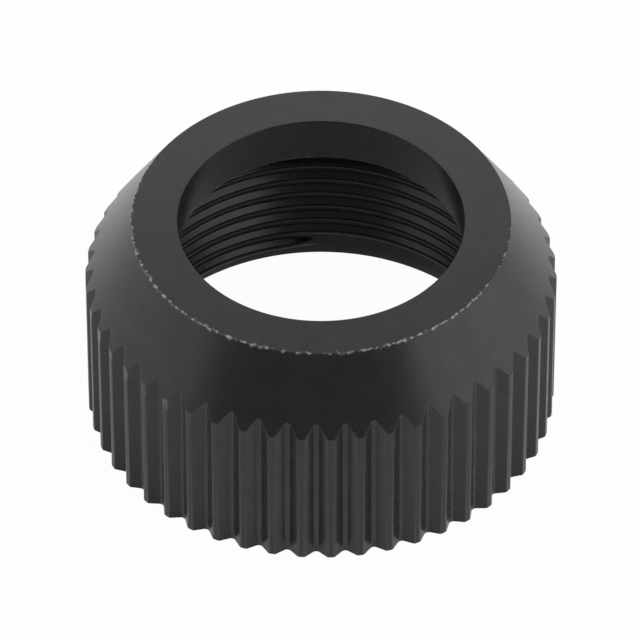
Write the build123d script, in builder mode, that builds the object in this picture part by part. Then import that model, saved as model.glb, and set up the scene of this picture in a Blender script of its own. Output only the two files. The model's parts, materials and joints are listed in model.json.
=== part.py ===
"""Knurled thumb nut: one turned, straight-knurled aluminium piece with a lipped, threaded bore.

Millimetres, +Z up. The origin is the centre of the open end, on which the nut stands.
A threaded body enters from below and stops under the lip; a shaft or cable passes up through it.
"""
import os
from math import radians, tan

from build123d import *

# Female thread, metric fine, cut right-handed; the solid holds its bore at the minor diameter
thread_major_d = 16.0
thread_pitch = 0.75
thread_length = 6.55

# Plain bores at the two ends: the entry, and the lip's own
entry_depth = 1.1
entry_clearance = 0.1  # how far the entry stands outside the thread's major diameter
lip_thickness = 2.0
lip_bore_d = 11.5

# Outside: straight knurl below, cone above
wall = 1.05  # between the entry and the bottoms of the knurl grooves
cone_height = 3.0
cone_angle = 32.35  # from the nut's axis
knurl_teeth = 50
knurl_depth = 0.35
knurl_angle = 106.0  # between the flanks of a groove
knurl_floor = 0.15
knurl_cutter_overrun = 0.03

# Chamfer on the rims of the top face and of the lip's bore
edge_break = 0.03

# Radii and heights that follow
thread_minor_r = thread_major_d / 2 - 0.54127 * thread_pitch
entry_r = thread_major_d / 2 + entry_clearance
lip_bore_r = lip_bore_d / 2
knurl_r = entry_r + wall + knurl_depth
lip_underside = entry_depth + thread_length
height = lip_underside + lip_thickness
knurl_height = height - cone_height
top_face_r = knurl_r - cone_height * tan(radians(cone_angle))

os.makedirs("parts", exist_ok=True)

with BuildPart() as knurled_nut:
    # Turned blank: a cylinder coned down to the top face, with the upper rim broken
    with BuildSketch(Plane.XZ):
        with BuildLine():
            Polyline(
                (0, 0),
                (knurl_r, 0),
                (knurl_r, knurl_height),
                (top_face_r, height),
                (0, height),
                close=True,
            )
        make_face()
    revolve(axis=Axis.Z)
    upper_rim = knurled_nut.edges().filter_by(GeomType.CIRCLE).group_by(Axis.Z)[-1]
    chamfer(upper_rim, length=edge_break)

    # Straight knurl: V grooves along the axis, which run out upwards into the cone.
    # A crest stands on +X.
    with BuildSketch(Plane.XY):
        with PolarLocations(knurl_r, knurl_teeth, start_angle=180 / knurl_teeth):
            flank_slope = tan(radians(knurl_angle / 2))
            floor_half = knurl_floor / 2
            mouth_half = floor_half + (knurl_depth + knurl_cutter_overrun) * flank_slope
            Polygon(
                (-knurl_depth, -floor_half),
                (knurl_cutter_overrun, -mouth_half),
                (knurl_cutter_overrun, mouth_half),
                (-knurl_depth, floor_half),
            )
    extrude(amount=height, mode=Mode.SUBTRACT)

    # Bored right through: plain entry, thread up to the lip's flat underside, then the lip's own bore
    with BuildSketch(Plane.XZ):
        with BuildLine():
            Polyline(
                (0, 0),
                (entry_r, 0),
                (entry_r, entry_depth),
                (thread_minor_r, entry_depth),
                (thread_minor_r, lip_underside),
                (lip_bore_r, lip_underside),
                (lip_bore_r, height),
                (0, height),
                close=True,
            )
        make_face()
    revolve(axis=Axis.Z, mode=Mode.SUBTRACT)
    bore_rims = knurled_nut.edges().filter_by(GeomType.CIRCLE)
    bore_rims = bore_rims.filter_by(lambda rim: abs(rim.radius - lip_bore_r) < 1e-6)
    chamfer(bore_rims, length=edge_break)

knurled_nut.part.label = "knurled_nut"
export_step(knurled_nut.part, "parts/knurled_nut.step")
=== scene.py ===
"""Knurled thumb nut, dressed over its CAD solid: black anodised aluminium, with its thread cut.

Metres, +Z up. The nut stands on its open end at the origin, with a knurl crest on +X.
"""
import json
from math import atan2, cos, hypot, pi, radians, sin, sqrt, tan
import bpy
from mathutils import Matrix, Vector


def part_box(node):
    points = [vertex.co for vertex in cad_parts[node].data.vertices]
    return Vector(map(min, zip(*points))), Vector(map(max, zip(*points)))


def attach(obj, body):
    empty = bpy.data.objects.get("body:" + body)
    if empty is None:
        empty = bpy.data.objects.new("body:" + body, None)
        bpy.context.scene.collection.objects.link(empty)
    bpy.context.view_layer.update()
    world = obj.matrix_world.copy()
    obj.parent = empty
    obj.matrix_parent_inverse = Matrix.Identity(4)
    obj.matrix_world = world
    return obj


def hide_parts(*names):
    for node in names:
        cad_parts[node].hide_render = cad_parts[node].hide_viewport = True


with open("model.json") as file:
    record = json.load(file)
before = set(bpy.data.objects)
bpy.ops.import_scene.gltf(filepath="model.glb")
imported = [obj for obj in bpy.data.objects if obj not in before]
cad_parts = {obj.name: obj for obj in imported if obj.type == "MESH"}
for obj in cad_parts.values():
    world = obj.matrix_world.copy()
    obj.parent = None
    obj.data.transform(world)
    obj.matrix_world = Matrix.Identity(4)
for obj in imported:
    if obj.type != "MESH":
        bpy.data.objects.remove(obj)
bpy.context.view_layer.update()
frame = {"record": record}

from types import SimpleNamespace

import bmesh
import bpy
from mathutils import Matrix, Vector

bl_info = {
    "name": "Knurled thumb nut",
    "version": (1, 0, 0),
    "blender": (4, 5, 0),
    "location": "3D View > Sidebar > Thumb nut",
    "description": "Models a straight-knurled thumb nut with a lipped, threaded bore",
    "category": "Mesh",
}

MM = 0.001
NODE = "knurled_nut"
_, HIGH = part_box(NODE)
MOUNTS = {mount["name"]: mount for mount in frame["record"]["mounts"]}
NEAR = 0.002  # millimetres between a vertex and the line or plane that it is picked by


def linear(hex_colour):
    """An sRGB hex colour as linear red, green and blue."""
    channels = [int(hex_colour[i:i + 2], 16) / 255 for i in (0, 2, 4)]
    return [c / 12.92 if c <= 0.04045 else ((c + 0.055) / 1.055) ** 2.4 for c in channels]


WHITE = (*linear("FFFFFF"), 1)


# ---------------------------------------------------------------- sizes and colours


class NutSizes(bpy.types.PropertyGroup):
    """What a user would change on the nut."""

    knurl_teeth: bpy.props.IntProperty(
        name="Teeth", description="Crests round the knurl", default=50, min=12)
    knurl_depth: bpy.props.FloatProperty(
        name="Groove depth", description="From a crest to the bottom of a groove",
        default=0.35 * MM, unit="LENGTH", precision=5)
    knurl_angle: bpy.props.FloatProperty(
        name="Groove angle", description="Between the flanks of a groove",
        default=radians(98), subtype="ANGLE")
    knurl_floor: bpy.props.FloatProperty(
        name="Groove floor", description="Width of the bottom of a groove",
        default=0.15 * MM, unit="LENGTH", precision=5)
    crest_round: bpy.props.FloatProperty(
        name="Crest rounding", description="How far the rounding of a crest's edges reaches",
        default=0.04 * MM, unit="LENGTH", precision=5)
    cone_height: bpy.props.FloatProperty(
        name="Cone height", description="From the top of the knurl to the top face",
        default=3.0 * MM, unit="LENGTH", precision=5)
    cone_angle: bpy.props.FloatProperty(
        name="Cone angle", description="Between the cone and the nut's axis",
        default=radians(32.35), subtype="ANGLE")
    rim_round: bpy.props.FloatProperty(
        name="Rim rounding", description="Rounding of the rims of the top face and of the lip",
        default=0.04 * MM, unit="LENGTH", precision=5)
    entry_r: bpy.props.FloatProperty(
        name="Entry radius", description="Plain bore ahead of the thread",
        default=8.1 * MM, unit="LENGTH", precision=5)
    entry_z: bpy.props.FloatProperty(
        name="Entry depth", description="Of the plain bore ahead of the thread",
        default=0.7 * MM, unit="LENGTH", precision=5)
    thread_pitch: bpy.props.FloatProperty(
        name="Thread pitch", description="Rise of the thread in one turn",
        default=0.75 * MM, unit="LENGTH", precision=5)
    thread_start: bpy.props.FloatProperty(
        name="Thread start", description="Angle from +X at which the lowest ridge begins",
        default=radians(101.65), subtype="ANGLE")
    thread_start_z: bpy.props.FloatProperty(
        name="Thread start height", description="Height of the lowest ridge where it begins",
        default=0.9 * MM, unit="LENGTH", precision=5)


class NutLooks(bpy.types.PropertyGroup):
    """The nut's finish and the stage."""

    anodised: bpy.props.FloatVectorProperty(
        name="Anodised", description="Colour of the dyed anodic layer",
        default=linear("303030"), subtype="COLOR", size=3)
    # Also the colour of the painted highlights on the rims and the crest tops
    bare: bpy.props.FloatVectorProperty(
        name="Bare metal", description="Aluminium where the layer is worn through",
        default=linear("C8C8C6"), subtype="COLOR", size=3)
    floor: bpy.props.FloatVectorProperty(
        name="Floor", description="Colour of the floor",
        default=linear("FAFAFA"), subtype="COLOR", size=3)
    camera_distance: bpy.props.FloatProperty(
        name="Camera distance", description="From the camera to the nut",
        default=0.34675, unit="LENGTH")
    camera_elevation: bpy.props.FloatProperty(
        name="Camera elevation", description="Of the camera above the floor",
        default=radians(44.70), subtype="ANGLE")
    camera_azimuth: bpy.props.FloatProperty(
        name="Camera azimuth", description="Of the camera from -Y towards +X",
        default=radians(1.15), subtype="ANGLE")


# ---------------------------------------------------------------- modelling by hand, in code
# The nut is modelled a unit to the millimetre and brought to metres at the end.


def in_millimetres(sizes):
    """The user's sizes and those that come from the frame, with every length in millimetres."""
    values = {}
    for name in type(sizes).__annotations__:
        value = getattr(sizes, name)
        values[name] = value / MM if sizes.bl_rna.properties[name].unit == "LENGTH" else value
    return SimpleNamespace(
        knurl_r=HIGH.x / MM, height=HIGH.z / MM, lip_r=MOUNTS["lip_bore"]["dims"]["r_mm"],
        lip_z=MOUNTS["lip_seat"]["pos_m"][2] / MM, minor_r=MOUNTS["thread"]["dims"]["r_mm"],
        **values)


def select_only(obj=None):
    """Deselects everything, then selects one object and makes it active."""
    if bpy.context.object and bpy.context.object.mode != "OBJECT":
        bpy.ops.object.mode_set(mode="OBJECT")
    bpy.ops.object.select_all(action="DESELECT")
    if obj:
        obj.select_set(True)
        bpy.context.view_layer.objects.active = obj


def edit(obj):
    """Opens a mesh in edit mode with nothing selected."""
    select_only(obj)
    bpy.ops.object.mode_set(mode="EDIT")
    bpy.ops.mesh.select_mode(type="VERT")
    bpy.ops.mesh.select_all(action="DESELECT")


def pick_vertices(obj, wanted):
    """Selects the vertices whose place is wanted, and nothing else."""
    bpy.ops.mesh.select_mode(type="VERT")
    bpy.ops.mesh.select_all(action="DESELECT")
    mesh = bmesh.from_edit_mesh(obj.data)
    for vertex in mesh.verts:
        if wanted(vertex.co):
            vertex.select_set(True)
    mesh.select_flush(True)
    bmesh.update_edit_mesh(obj.data)


def pick_edges(obj, wanted, open_only=False):
    """Selects the edges whose two ends are both wanted, and nothing else."""
    bpy.ops.mesh.select_mode(type="EDGE")
    bpy.ops.mesh.select_all(action="DESELECT")
    mesh = bmesh.from_edit_mesh(obj.data)
    for edge in mesh.edges:
        if all(wanted(v.co) for v in edge.verts) and (edge.is_boundary or not open_only):
            edge.select_set(True)
    bmesh.update_edit_mesh(obj.data)


def place(obj, where):
    """Moves each selected vertex to where(its place)."""
    mesh = bmesh.from_edit_mesh(obj.data)
    for vertex in mesh.verts:
        if vertex.select:
            vertex.co = where(vertex.co)
    bmesh.update_edit_mesh(obj.data)


def pull(obj, where):
    """Extrudes what is selected, and puts the new ring at where(its place)."""
    bpy.ops.mesh.extrude_region_move()
    place(obj, where)


def draw_line(name, points):
    """A line through points, extruded from one vertex. The object is left in edit mode."""
    select_only()
    bpy.ops.mesh.primitive_plane_add(size=1)
    obj = bpy.context.object
    obj.name = obj.data.name = name
    bpy.ops.object.mode_set(mode="EDIT")
    bpy.ops.mesh.merge(type="CENTER")
    bpy.ops.mesh.select_mode(type="VERT")
    bpy.ops.mesh.select_all(action="SELECT")
    bpy.ops.transform.translate(value=points[0])
    for here, there in zip(points, points[1:]):
        bpy.ops.mesh.extrude_region_move(TRANSFORM_OT_translate={"value": there - here})
    return obj


def at_radius(r, z):
    """Puts a place at radius r and height z, at the angle that it has."""
    return lambda p: Vector((p.x, p.y, 0)).normalized() * r + Vector((0, 0, z))


def on_ring(r, z):
    """Tests whether a place lies on the ring of radius r at height z."""
    return lambda p: abs(hypot(p.x, p.y) - r) < NEAR and abs(p.z - z) < NEAR


def cone_z(sizes, r):
    """Height of the cone at radius r."""
    return sizes.height - sizes.cone_height + (sizes.knurl_r - r) / tan(sizes.cone_angle)


def half_tooth(sizes):
    """Corners of half a tooth seen from above, from the middle of its crest to a groove's."""
    half_pitch = pi / sizes.knurl_teeth
    floor_r = sizes.knurl_r - sizes.knurl_depth
    floor_half = sizes.knurl_floor / 2
    slope = tan(sizes.knurl_angle / 2)
    # Where the flank meets the crest: x^2 + (floor_half + (x - floor_r) * slope)^2 = knurl_r^2
    shift = floor_half - floor_r * slope
    a, b, c = 1 + slope**2, 2 * slope * shift, shift**2 - sizes.knurl_r**2
    edge_x = (-b + sqrt(b**2 - 4 * a * c)) / (2 * a)
    in_groove = [(edge_x, shift + edge_x * slope), (floor_r, floor_half), (floor_r, 0)]
    turn = Matrix.Rotation(half_pitch, 3, "Z")
    return [Vector((sizes.knurl_r, 0, 0))] + [turn @ Vector((x, -y, 0)) for x, y in in_groove]


def tooth_outline(sizes):
    """The knurl's outline: half a tooth drawn and rounded, mirrored, and copied all round."""
    crest, crest_edge, floor_edge, floor = half_tooth(sizes)
    obj = draw_line("nut", [crest, crest_edge, floor_edge, floor])
    floor_round = 0.8 * sizes.knurl_floor / 2  # most of the way to the middle of the groove
    for corner, reach in ((crest_edge, sizes.crest_round), (floor_edge, floor_round)):
        pick_vertices(obj, lambda p: (p - corner).length < NEAR)
        bpy.ops.mesh.bevel(offset=reach, segments=3, affect="VERTICES")

    # The flank is halved, so that the cone's cut through it curves
    half_flank = (crest_edge - floor_edge).length / 2
    mesh = bmesh.from_edit_mesh(obj.data)
    bpy.ops.mesh.select_mode(type="EDGE")
    bpy.ops.mesh.select_all(action="DESELECT")
    for edge in mesh.edges:
        edge.select_set(edge.calc_length() > half_flank)
    bpy.ops.mesh.subdivide(number_cuts=1)

    bpy.ops.mesh.select_all(action="SELECT")
    bpy.ops.mesh.duplicate()
    bpy.ops.transform.resize(value=(1, -1, 1), center_override=(0, 0, 0))
    bpy.ops.mesh.select_all(action="SELECT")
    copies = sizes.knurl_teeth - 1
    bpy.ops.mesh.spin(
        steps=copies, dupli=True, angle=2 * pi * copies / sizes.knurl_teeth,
        center=(0, 0, 0), axis=(0, 0, 1))
    bpy.ops.mesh.select_all(action="SELECT")
    bpy.ops.mesh.remove_doubles(threshold=NEAR)
    return obj


def turned_body(sizes):
    """The nut's whole skin but the thread, pulled ring by ring from the knurl's outline."""
    obj = tooth_outline(sizes)
    height, lip_r, lip_z = sizes.height, sizes.lip_r, sizes.lip_z
    top_r = sizes.knurl_r - sizes.cone_height * tan(sizes.cone_angle)
    floor_r = sizes.knurl_r - sizes.knurl_depth
    seat_r = 0.97 * sizes.minor_r  # the flat under the lip is drawn to just short of the thread
    turned_edge, open_edge = 0.04, 0.025  # how far the rounding of the plain edges reaches

    def on_cone(p):
        return Vector((p.x, p.y, cone_z(sizes, hypot(p.x, p.y))))

    bpy.ops.mesh.select_all(action="SELECT")
    pull(obj, on_cone)
    pull(obj, at_radius(top_r, height))
    pull(obj, at_radius(lip_r, height))
    pull(obj, at_radius(lip_r, lip_z))
    pull(obj, at_radius(seat_r, lip_z))

    # Under the knurl: the open end's face, and the plain entry
    pick_vertices(obj, lambda p: abs(p.z) < NEAR)
    pull(obj, at_radius(sizes.entry_r, 0))
    pull(obj, at_radius(sizes.entry_r, sizes.entry_z))

    # Faces drawn from a bare line lie either way round, and the bevel tool needs them to agree
    bpy.ops.mesh.select_all(action="SELECT")
    bpy.ops.mesh.normals_make_consistent(inside=False)

    def knurl_rim(p):
        return p.z < height - 0.5 * sizes.cone_height and abs(p.z - on_cone(p).z) < NEAR

    def open_rim(p):
        return abs(p.z) < NEAR and hypot(p.x, p.y) > floor_r - NEAR

    for wanted, reach, segments in (
            (knurl_rim, turned_edge, 2),
            (open_rim, open_edge, 2),
            (on_ring(top_r, height), sizes.rim_round, 3),
            (on_ring(lip_r, height), sizes.rim_round, 3),
            (on_ring(lip_r, lip_z), sizes.rim_round, 3),
            (on_ring(sizes.entry_r, 0), turned_edge, 2)):
        pick_edges(obj, wanted)
        bpy.ops.mesh.bevel(offset=reach, offset_type="OFFSET", segments=segments)
    bpy.ops.object.mode_set(mode="OBJECT")
    return obj


def thread_wall(sizes):
    """The threaded wall: one pitch of the ridge's profile, screwed up the bore and trimmed."""
    pitch, minor_r, lip_z = sizes.thread_pitch, sizes.minor_r, sizes.lip_z
    major_r = minor_r + 0.37 * pitch  # rounded ridges are lower than the full form's
    steps = 240  # in a turn
    blunt = 12 / 360  # of a turn over which the first ridge rises
    # The last groove runs out over this many turns, from this many pitches below the lip
    fade_turns, fade_below = 0.9, 1.6

    # The ridge's profile in one pitch, from the middle of one root to the middle of the next. It
    # is drawn over +X, more than two turns below the start, and trimmed later.
    root, flank = 0.1 * pitch, 0.3 * pitch
    turns_to_start = sizes.thread_start / (2 * pi)
    crest_z = sizes.thread_start_z - pitch * (turns_to_start + 2)
    heights = [-pitch / 2, -pitch / 2 + root, -pitch / 2 + root + flank]
    heights += [-z for z in reversed(heights)]
    radii = [major_r, major_r, minor_r, minor_r, major_r, major_r]
    corners = [Vector((r, 0, crest_z + z)) for r, z in zip(radii, heights)]
    obj = draw_line("thread", corners)
    corner_round = 0.9 * root
    for corner in corners[1:-1]:
        pick_vertices(obj, lambda p: (p - corner).length < NEAR)
        bpy.ops.mesh.bevel(offset=corner_round, segments=4, affect="VERTICES")
    bpy.ops.object.mode_set(mode="OBJECT")

    screw = obj.modifiers.new("screw", "SCREW")
    screw.angle = 2 * pi
    screw.screw_offset = pitch
    screw.iterations = int((lip_z - crest_z) / pitch) + 2
    screw.steps = screw.render_steps = steps
    screw.use_merge_vertices = False
    bpy.ops.object.modifier_apply(modifier=screw.name)
    edit(obj)
    bpy.ops.mesh.select_all(action="SELECT")
    bpy.ops.mesh.remove_doubles(threshold=NEAR)

    last_turn = (lip_z - sizes.thread_start_z) / pitch - fade_below

    def turned(p):
        """Takes the ridges down before the thread begins, and fills the grooves at its end."""
        turn = (atan2(p.y, p.x) - sizes.thread_start) / (2 * pi)
        climb = (p.z - sizes.thread_start_z) / pitch
        turns = turn + round(climb - turn)
        r = hypot(p.x, p.y)
        r += (major_r - r) * min(max(-turns / blunt, 0), 1)
        r += (minor_r - r) * min(max((turns - last_turn) / fade_turns, 0), 1)
        return at_radius(r, p.z)(p)

    bpy.ops.mesh.select_all(action="SELECT")
    place(obj, turned)
    for z, side in ((sizes.entry_z, "clear_inner"), (lip_z, "clear_outer")):
        bpy.ops.mesh.select_all(action="SELECT")
        bpy.ops.mesh.bisect(plane_co=(0, 0, z), plane_no=(0, 0, 1), **{side: True})
    bpy.ops.object.mode_set(mode="OBJECT")
    return obj


def close_up(obj, sizes):
    """Fills the rings between the thread's two ends and the body, and turns the skin outwards."""
    for z in (sizes.entry_z, sizes.lip_z):
        pick_edges(obj, lambda p: abs(p.z - z) < NEAR, open_only=True)
        bpy.ops.mesh.fill(use_beauty=True)
    bpy.ops.mesh.select_mode(type="FACE")
    bpy.ops.mesh.select_all(action="SELECT")
    bpy.ops.mesh.normals_make_consistent(inside=False)
    mesh = bmesh.from_edit_mesh(obj.data)
    broken = sum(not edge.is_contiguous for edge in mesh.edges)
    volume = mesh.calc_volume(signed=True)
    bpy.ops.transform.resize(value=(MM, MM, MM), center_override=(0, 0, 0))
    bpy.ops.object.mode_set(mode="OBJECT")
    if broken or volume <= 0:
        raise RuntimeError(f"the nut's skin is broken at {broken} edges and holds {volume:.0f} mm3")


def finish_normals(obj, sizes):
    """Smooths the rounded edges, and makes the normals of the cone, top face and lip true.

    The cone's facets are as wide as the steps of the knurl's outline below them, which differ.
    """
    select_only(obj)
    bpy.ops.object.shade_smooth_by_angle(angle=radians(35))
    weighted = obj.modifiers.new("weighted", "WEIGHTED_NORMAL")
    weighted.keep_sharp = True
    bpy.ops.object.modifier_apply(modifier=weighted.name)
    normals = [corner.vector.copy() for corner in obj.data.corner_normals]
    for loop in obj.data.loops:
        p = obj.data.vertices[loop.vertex_index].co / MM
        r = hypot(p.x, p.y)
        if abs(p.z - cone_z(sizes, r)) < NEAR:
            lean = cos(sizes.cone_angle) / r
            normals[loop.index] = Vector((p.x * lean, p.y * lean, sin(sizes.cone_angle)))
        elif abs(p.z - sizes.height) < NEAR:
            normals[loop.index] = Vector((0, 0, 1))
        elif abs(r - sizes.lip_r) < NEAR:
            normals[loop.index] = Vector((-p.x / r, -p.y / r, 0))
    obj.data.normals_split_custom_set(normals)


# ---------------------------------------------------------------- materials


def add_node(tree, kind, inputs=(), **settings):
    """Adds a node with its settings and its inputs.

    A node given as an input links its first output.
    """
    node = tree.nodes.new(kind)
    for name, value in settings.items():
        setattr(node, name, value)
    for socket, value in dict(inputs).items():
        if isinstance(value, bpy.types.Node):
            value = value.outputs[0]
        if isinstance(value, bpy.types.NodeSocket):
            tree.links.new(value, node.inputs[socket])
        else:
            node.inputs[socket].default_value = value
    return node


def new_tree(owner):
    """An empty node tree for a material or a world."""
    owner.use_nodes = True
    owner.node_tree.nodes.clear()
    return owner.node_tree


def rim_wear_and_painted_highlight(tree, spot, section, rim, towards, most):
    """A turned rim, rubbed to the metal in a thin chipped line, which also stands for a painted
    highlight on the rim's rounding.

    The line is strongest on the side that faces towards, where the share of bare-metal colour
    reaches most.
    """
    off_rim = add_node(tree, "ShaderNodeVectorMath", {0: section, 1: rim}, operation="DISTANCE")
    # Chips are a tenth or two of a millimetre across
    chips = add_node(tree, "ShaderNodeTexNoise", {
        "Vector": spot, "Scale": 1 / (0.17 * MM), "Detail": 1.5})
    depth = add_node(tree, "ShaderNodeMapRange", {
        "Value": chips, "From Min": 0.46, "From Max": 0.72, "To Min": 0.035 * MM,
        "To Max": 0.16 * MM})
    facing = add_node(tree, "ShaderNodeVectorMath", {0: spot, 1: towards},
                      operation="DOT_PRODUCT")
    rubbed = add_node(tree, "ShaderNodeMapRange", {
        "Value": facing.outputs["Value"], "From Min": -5 * MM, "From Max": 5 * MM})
    reach = add_node(tree, "ShaderNodeMath", {0: depth, 1: rubbed}, operation="MULTIPLY")
    # How far the line of bare-metal colour reaches: partly wear, partly a painted highlight
    gone = add_node(tree, "ShaderNodeMapRange", {
        "Value": off_rim.outputs["Value"], "From Min": reach, "From Max": 0.0})
    # The bigger the chip, the further it goes through the layer
    through = add_node(tree, "ShaderNodeMapRange", {
        "Value": chips, "From Min": 0.42, "From Max": 0.64, "To Min": 0.2 * most, "To Max": most})
    return add_node(tree, "ShaderNodeMath", {0: gone, 1: through}, operation="MULTIPLY")


def crest_knocks_and_painted_highlight(tree, spot, section, sizes):
    """The upper ends of the crests on the left, in thin light streaks: knocks, and a painted
    highlight along each crest's top.
    """
    crest_top = (sizes.knurl_r * MM, 0, (sizes.height - sizes.cone_height) * MM)
    from_top = add_node(tree, "ShaderNodeVectorMath", {0: section, 1: crest_top},
                        operation="SUBTRACT")
    # Scaled so that a streak is a few hundredths wide and some tenths long
    scaled = add_node(tree, "ShaderNodeVectorMath", {0: from_top, 1: (1, 1, 0.06)},
                      operation="MULTIPLY")
    off_top = add_node(tree, "ShaderNodeVectorMath", {0: scaled}, operation="LENGTH")
    near_top = add_node(tree, "ShaderNodeMapRange", {
        "Value": off_top.outputs["Value"], "From Min": 0.045 * MM, "From Max": 0.01 * MM},
        interpolation_type="SMOOTHSTEP")
    facing = add_node(tree, "ShaderNodeVectorMath", {0: spot, 1: (-0.93, -0.37, 0)},
                      operation="DOT_PRODUCT")
    leftward = add_node(tree, "ShaderNodeMapRange", {
        "Value": facing.outputs["Value"], "From Min": 7.2 * MM, "From Max": 9.0 * MM})
    # Knocks, and a painted highlight that lights most crest tops on the left
    knocks = add_node(tree, "ShaderNodeTexNoise", {"Vector": spot, "Scale": 1 / (0.7 * MM)})
    hit = add_node(tree, "ShaderNodeMapRange", {
        "Value": knocks, "From Min": 0.35, "From Max": 0.6, "To Max": 0.32})
    here = add_node(tree, "ShaderNodeMath", {0: near_top, 1: leftward}, operation="MULTIPLY")
    return add_node(tree, "ShaderNodeMath", {0: here, 1: hit}, operation="MULTIPLY")


def specks(tree, spot):
    """A few pinholes and specks of dust, each some hundredths of a millimetre across."""
    cells = add_node(tree, "ShaderNodeTexVoronoi", {"Vector": spot, "Scale": 1 / (1.1 * MM)})
    small = add_node(tree, "ShaderNodeMapRange", {
        "Value": cells.outputs["Distance"], "From Min": 0.05, "From Max": 0.02, "To Max": 0.5})
    # About one cell in six has a speck
    rare = add_node(tree, "ShaderNodeMath", {0: cells.outputs["Color"], 1: 0.84},
                    operation="GREATER_THAN")
    return add_node(tree, "ShaderNodeMath", {0: small, 1: rare}, operation="MULTIPLY")


def anodised_aluminium(looks, sizes):
    """Turned aluminium, lightly blasted and anodised black.

    Most of the light that enters the dyed layer is lost in it, so the metal below adds little
    shine and the nut is near black face on. The layer's own surface is the coat: it turns the nut
    pale where it is seen at a slant. Blasting leaves a fine even grain. Where the layer is rubbed
    through, the bare metal shows silver; the same silver paints highlights on the rims' rounding
    and on the tops of the crests on the left.
    """
    material = bpy.data.materials.new("anodised_aluminium_black")
    tree = new_tree(material)
    spot = add_node(tree, "ShaderNodeTexCoord").outputs["Object"]
    flat = add_node(tree, "ShaderNodeVectorMath", {0: spot, 1: (1, 1, 0)}, operation="MULTIPLY")
    r = add_node(tree, "ShaderNodeVectorMath", {0: flat}, operation="LENGTH")
    z = add_node(tree, "ShaderNodeSeparateXYZ", {0: spot}).outputs["Z"]
    section = add_node(tree, "ShaderNodeCombineXYZ", {"X": r.outputs["Value"], "Z": z})
    top_r = sizes.knurl_r - sizes.cone_height * tan(sizes.cone_angle)
    top_rim = (top_r * MM, 0, sizes.height * MM)
    lip_rim = (sizes.lip_r * MM, 0, sizes.lip_z * MM)
    # Wear and painted highlights together: specks, the two rims and the crest tops
    worn = specks(tree, spot)
    for wear in (
            # The top rim: wear, and a painted highlight along its rounding, strongest at the front
            # left
            rim_wear_and_painted_highlight(tree, spot, section, top_rim, towards=(-0.35, -0.94, 0), most=0.85),
            # The lip's lower edge: a painted highlight, a faint line of bare-metal colour at the
            # back left
            rim_wear_and_painted_highlight(tree, spot, section, lip_rim, towards=(-0.8, 0.6, 0), most=0.3),
            crest_knocks_and_painted_highlight(tree, spot, section, sizes)):
        worn = add_node(tree, "ShaderNodeMath", {0: worn, 1: wear}, operation="MAXIMUM")

    # The blasted grain is about 0.04 mm; it is drawn at 0.08 mm, the finest that shows
    grain = add_node(tree, "ShaderNodeTexNoise", {"Vector": spot, "Scale": 1 / (0.08 * MM)})
    cloud = add_node(tree, "ShaderNodeTexNoise", {
        "Vector": spot, "Scale": 1 / (0.9 * MM), "Detail": 3.0})
    grain_tone = add_node(tree, "ShaderNodeMapRange", {
        "Value": grain, "From Min": 0.3, "From Max": 0.7, "To Min": 0.88, "To Max": 1.12})
    cloud_tone = add_node(tree, "ShaderNodeMapRange", {
        "Value": cloud, "From Min": 0.3, "From Max": 0.7, "To Min": 0.86, "To Max": 1.14})
    tone = add_node(tree, "ShaderNodeMath", {0: grain_tone, 1: cloud_tone}, operation="MULTIPLY")
    dyed = add_node(tree, "ShaderNodeVectorMath", {0: tuple(looks.anodised), "Scale": tone},
                    operation="SCALE")
    # Bare-metal colour where the layer is worn, and where highlights are painted on the rims and
    # crests
    colour = add_node(tree, "ShaderNodeMix", {"Factor": worn, 6: dyed, 7: (*looks.bare, 1)},
                      data_type="RGBA")
    roughness = add_node(tree, "ShaderNodeMapRange", {
        "Value": grain, "From Min": 0.3, "From Max": 0.7, "To Min": 0.26, "To Max": 0.3})
    height = add_node(tree, "ShaderNodeMath", {0: grain, 1: worn}, operation="SUBTRACT")
    bump = add_node(tree, "ShaderNodeBump", {
        "Height": height, "Strength": 0.05, "Distance": 0.008 * MM})
    shader = add_node(tree, "ShaderNodeBsdfPrincipled", {
        "Base Color": colour.outputs[2], "Metallic": 0.3, "Roughness": roughness, "Normal": bump,
        "Specular IOR Level": 0.1, "Coat Weight": 0.65, "Coat Roughness": 0.24})
    add_node(tree, "ShaderNodeOutputMaterial", {"Surface": shader})
    return material


# ---------------------------------------------------------------- stage


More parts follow.
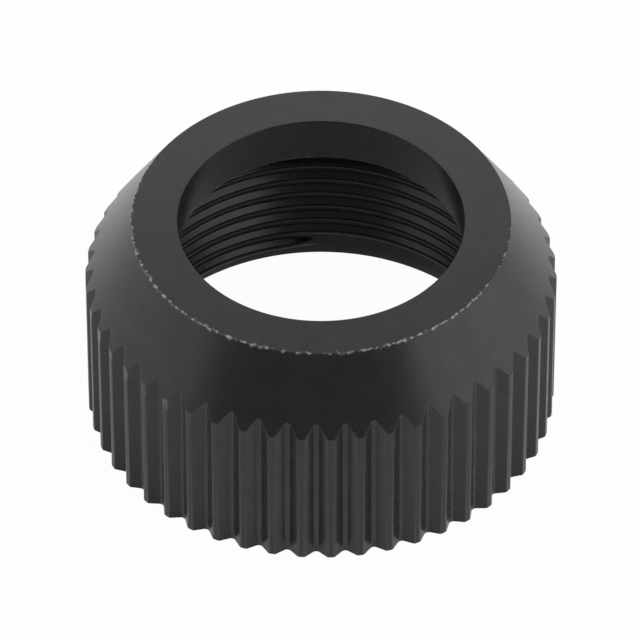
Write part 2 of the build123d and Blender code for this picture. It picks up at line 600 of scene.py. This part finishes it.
def lay_floor(looks):
    """A matt white floor, white to the camera but for a trace of the nut's shadow. In the metal it
    shows painted white light, strongest in front of the nut and far from it.
    """
    select_only()
    # Just clear of the nut's flat end, so that the two don't flicker through each other
    bpy.ops.mesh.primitive_plane_add(size=1.6, location=(0, 0, -0.02 * MM))
    floor = bpy.context.object
    floor.name = "floor"
    material = bpy.data.materials.new("paper_white_matt")
    tree = new_tree(material)
    shaded = add_node(tree, "ShaderNodeBsdfPrincipled", {
        "Base Color": (*looks.floor, 1), "Roughness": 0.9})
    white = add_node(tree, "ShaderNodeEmission", {"Color": WHITE, "Strength": 1.0})
    rays = add_node(tree, "ShaderNodeLightPath").outputs
    mirrored = add_node(tree, "ShaderNodeMath", {
        0: rays["Is Glossy Ray"], 1: rays["Is Transmission Ray"]}, operation="MAXIMUM")

    # Painted light in the metal: there the floor glows white, most in front of the nut and well
    # away from it
    spot = add_node(tree, "ShaderNodeTexCoord").outputs["Object"]
    y = add_node(tree, "ShaderNodeSeparateXYZ", {0: spot}).outputs["Y"]
    in_front = add_node(tree, "ShaderNodeMapRange", {
        "Value": y, "From Min": -12 * MM, "From Max": -4 * MM, "To Min": 0.42, "To Max": 0.22})
    distance = add_node(tree, "ShaderNodeVectorMath", {0: spot}, operation="LENGTH")
    away = add_node(tree, "ShaderNodeMapRange", {
        "Value": distance.outputs["Value"], "From Min": 16 * MM, "From Max": 30 * MM,
        "To Max": 0.7})
    painted_floor_glow = add_node(tree, "ShaderNodeMath", {0: in_front, 1: away}, operation="MAXIMUM")
    to_metal = add_node(tree, "ShaderNodeMath", {0: mirrored, 1: painted_floor_glow}, operation="MULTIPLY")

    # The camera sees this share of pure white, and the rest as the floor is lit
    to_camera = add_node(tree, "ShaderNodeMath", {0: rays["Is Camera Ray"], 1: 0.97},
                         operation="MULTIPLY")
    share = add_node(tree, "ShaderNodeMath", {0: to_metal, 1: to_camera}, operation="MAXIMUM")
    mix = add_node(tree, "ShaderNodeMixShader", {0: share, 1: shaded, 2: white})
    add_node(tree, "ShaderNodeOutputMaterial", {"Surface": mix})
    floor.data.materials.append(material)


def light_softboxes():
    """A softbox on each side, the right one stronger, and a small one low behind the nut."""
    aim = Vector((0, 0, HIGH.z / 2))
    # Degrees round from the front and above the floor, metres away, wide and high, and radiance
    for name, azimuth, elevation, distance, width, height, radiance in (
            ("softbox_right", 80, 30, 0.50, 0.60, 0.60, 0.96),
            ("softbox_left", -86, 30, 0.50, 0.56, 0.60, 0.54),
            ("softbox_back", 180, 34, 0.08, 0.05, 0.04, 0.8)):
        a, e = radians(azimuth), radians(elevation)
        away = Vector((sin(a) * cos(e), -cos(a) * cos(e), sin(e)))
        bpy.ops.object.light_add(type="AREA", location=aim + away * distance)
        lamp = bpy.context.object
        lamp.name = name
        lamp.rotation_euler = away.to_track_quat("Z", "Y").to_euler()
        lamp.data.shape = "RECTANGLE"
        lamp.data.size, lamp.data.size_y = width, height
        lamp.data.energy = radiance * pi * width * height
        lamp.visible_camera = False


def light_world(scene):
    """A pale room round the nut, with the dark of the camera's side at the front and overhead."""
    world = bpy.data.worlds.new("studio")
    scene.world = world
    tree = new_tree(world)
    way = add_node(tree, "ShaderNodeTexCoord").outputs["Generated"]
    # The dark wedge stands on the camera's side, 90 degrees wide, and reaches up to the zenith. It
    # is turned a little to the left.
    turn = radians(-4)
    ahead = add_node(tree, "ShaderNodeVectorMath", {0: way, 1: (sin(turn), -cos(turn), 0)},
                     operation="DOT_PRODUCT")
    sideways = add_node(tree, "ShaderNodeVectorMath", {0: way, 1: (cos(turn), sin(turn), 0)},
                        operation="DOT_PRODUCT")
    aside = add_node(tree, "ShaderNodeMath", {0: sideways.outputs["Value"]}, operation="ABSOLUTE")
    past_wedge = add_node(tree, "ShaderNodeMath", {0: aside, 1: ahead.outputs["Value"]},
                          operation="SUBTRACT")
    dark, pale = 0.18, 0.43
    room = add_node(tree, "ShaderNodeMapRange", {
        "Value": past_wedge, "From Min": -0.2, "From Max": 0.16, "To Min": dark, "To Max": pale},
        interpolation_type="SMOOTHSTEP")
    seen = add_node(tree, "ShaderNodeLightPath").outputs["Is Camera Ray"]
    strength = add_node(tree, "ShaderNodeMath", {0: room, 1: seen}, operation="MAXIMUM")
    sky = add_node(tree, "ShaderNodeBackground", {"Color": WHITE, "Strength": strength})
    add_node(tree, "ShaderNodeOutputWorld", {"Surface": sky})


def set_camera(scene, looks):
    """A long lens, above and in front of the nut."""
    target = Vector((0, 0, 0.25 * HIGH.x))  # on the axis, a quarter of the knurl's radius up
    view = Vector((
        sin(looks.camera_azimuth) * cos(looks.camera_elevation),
        -cos(looks.camera_azimuth) * cos(looks.camera_elevation),
        sin(looks.camera_elevation)))
    bpy.ops.object.camera_add(location=target + view * looks.camera_distance)
    camera = bpy.context.object
    camera.rotation_euler = view.to_track_quat("Z", "Y").to_euler()
    camera.data.sensor_width = 36  # millimetres, and so is the lens
    camera.data.lens = 479.86875
    # The nut stands off the frame's middle by these parts of its width
    camera.data.shift_x, camera.data.shift_y = -0.00146875, 0.0451875
    camera.data.clip_start = 0.01
    scene.camera = camera


# ---------------------------------------------------------------- operators


class MakeNut(bpy.types.Operator):
    """Turn, knurl, bore and thread the nut, and give it its finish"""

    bl_idname = "thumb_nut.make_nut"
    bl_label = "Make the nut"

    def execute(self, context):
        sizes = in_millimetres(context.scene.nut_sizes)
        nut = turned_body(sizes)
        thread = thread_wall(sizes)
        select_only(thread)
        nut.select_set(True)
        context.view_layer.objects.active = nut
        bpy.ops.object.join()
        edit(nut)
        close_up(nut, sizes)
        finish_normals(nut, sizes)
        nut.data.materials.append(anodised_aluminium(context.scene.nut_looks, sizes))
        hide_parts(NODE)
        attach(nut, "root")
        return {"FINISHED"}


class MakeStage(bpy.types.Operator):
    """Lay the floor, light it and set up the camera"""

    bl_idname = "thumb_nut.make_stage"
    bl_label = "Make the stage"

    def execute(self, context):
        scene = context.scene
        lay_floor(scene.nut_looks)
        light_softboxes()
        light_world(scene)
        set_camera(scene, scene.nut_looks)
        scene.view_settings.view_transform = "Standard"
        return {"FINISHED"}


class NutPanel(bpy.types.Panel):
    """Lists the nut's operators and sizes"""

    bl_idname = "VIEW3D_PT_thumb_nut"
    bl_label = "Thumb nut"
    bl_space_type = "VIEW_3D"
    bl_region_type = "UI"
    bl_category = "Thumb nut"

    def draw(self, context):
        for operator in OPERATORS:
            self.layout.operator(operator.bl_idname)
        for group in (context.scene.nut_sizes, context.scene.nut_looks):
            for name in type(group).__annotations__:
                self.layout.prop(group, name)


OPERATORS = (MakeNut, MakeStage)
CLASSES = (NutSizes, NutLooks, *OPERATORS, NutPanel)


def register():
    for cls in CLASSES:
        bpy.utils.register_class(cls)
    bpy.types.Scene.nut_sizes = bpy.props.PointerProperty(type=NutSizes)
    bpy.types.Scene.nut_looks = bpy.props.PointerProperty(type=NutLooks)


def unregister():
    del bpy.types.Scene.nut_looks
    del bpy.types.Scene.nut_sizes
    for cls in reversed(CLASSES):
        bpy.utils.unregister_class(cls)


def main():
    register()
    bpy.ops.thumb_nut.make_stage()
    bpy.ops.thumb_nut.make_nut()


if __name__ == "__main__":
    main()
